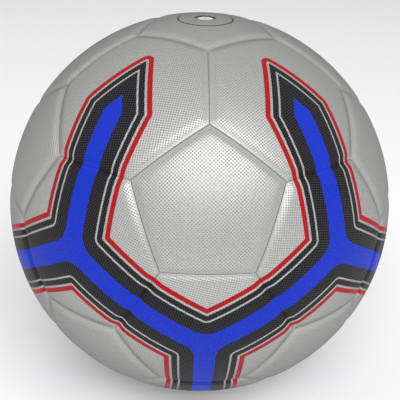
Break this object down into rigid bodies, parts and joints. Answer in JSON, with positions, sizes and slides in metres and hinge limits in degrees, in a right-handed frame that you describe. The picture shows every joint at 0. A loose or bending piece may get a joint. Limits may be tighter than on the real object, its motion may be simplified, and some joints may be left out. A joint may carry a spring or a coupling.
{
  "type": "soccer ball",
  "caption": "Low-bounce indoor soccer ball: grained, printed pentagon and hexagon panels over foam, carcass and bladder, with a pull-out needle valve insert.",
  "frame": {"origin": "centre of the ball", "axes": "+Z out through the valve, -Y through the pentagon at the front of the ball, +X to the right"},
  "size_m": [0.2, 0.2, 0.1998],
  "materials": {
    "cover": "grained pearl-white polyurethane with printed red, blue, black and cream artwork",
    "foam": "fine closed-cell foam",
    "woven_backing": "plain-woven polyester and cotton",
    "thread": "waxed twisted polyester",
    "tape": "latex-soaked cloth tape",
    "carcass_cloth": "cloth bonded with latex",
    "bladder_rubber": "smooth butyl rubber",
    "felt": "dense needled felt",
    "weight_rubber": "moulded rubber",
    "valve_rubber": "moulded satin rubber",
    "patch_rubber": "calendered rubber",
    "plug_rubber": "soft moulded cream rubber"
  },
  "bodies": {
    "ball": {"pentagon_panel_top": "cover", "pentagon_panel_bottom": "cover", "pentagon_panel_upper_1": "cover", "pentagon_panel_upper_2": "cover", "pentagon_panel_upper_3": "cover", "pentagon_panel_upper_4": "cover", "pentagon_panel_upper_5": "cover", "pentagon_panel_lower_1": "cover", "pentagon_panel_lower_2": "cover", "pentagon_panel_lower_3": "cover", "pentagon_panel_lower_4": "cover", "pentagon_panel_lower_5": "cover", "hexagon_panel_top_1": "cover", "hexagon_panel_top_2": "cover", "hexagon_panel_top_3": "cover", "hexagon_panel_top_4": "cover", "hexagon_panel_top_5": "cover", "hexagon_panel_upper_1": "cover", "hexagon_panel_upper_2": "cover", "hexagon_panel_upper_3": "cover", "hexagon_panel_upper_4": "cover", "hexagon_panel_upper_5": "cover", "hexagon_panel_lower_1": "cover", "hexagon_panel_lower_2": "cover", "hexagon_panel_lower_3": "cover", "hexagon_panel_lower_4": "cover", "hexagon_panel_lower_5": "cover", "hexagon_panel_bottom_1": "cover", "hexagon_panel_bottom_2": "cover", "hexagon_panel_bottom_3": "cover", "hexagon_panel_bottom_4": "cover", "hexagon_panel_bottom_5": "cover", "pentagon_foam_pads": "foam", "hexagon_foam_pads": "foam", "pentagon_backings": "woven_backing", "hexagon_backings": "woven_backing", "seam_threads": "thread", "seam_tapes": "tape", "carcass": "carcass_cloth", "bladder": "bladder_rubber", "felt_lining": "felt", "balance_weight": "weight_rubber", "valve_housing": "valve_rubber", "valve_patch": "patch_rubber"},
    "valve_insert": {"valve_plug": "plug_rubber"}
  },
  "joints": [
    {"name": "plug_pull", "type": "slide", "parent": "ball", "child": "valve_insert", "axis": [0, 0, 1], "range_m": [0, 0.03]}
  ]
}
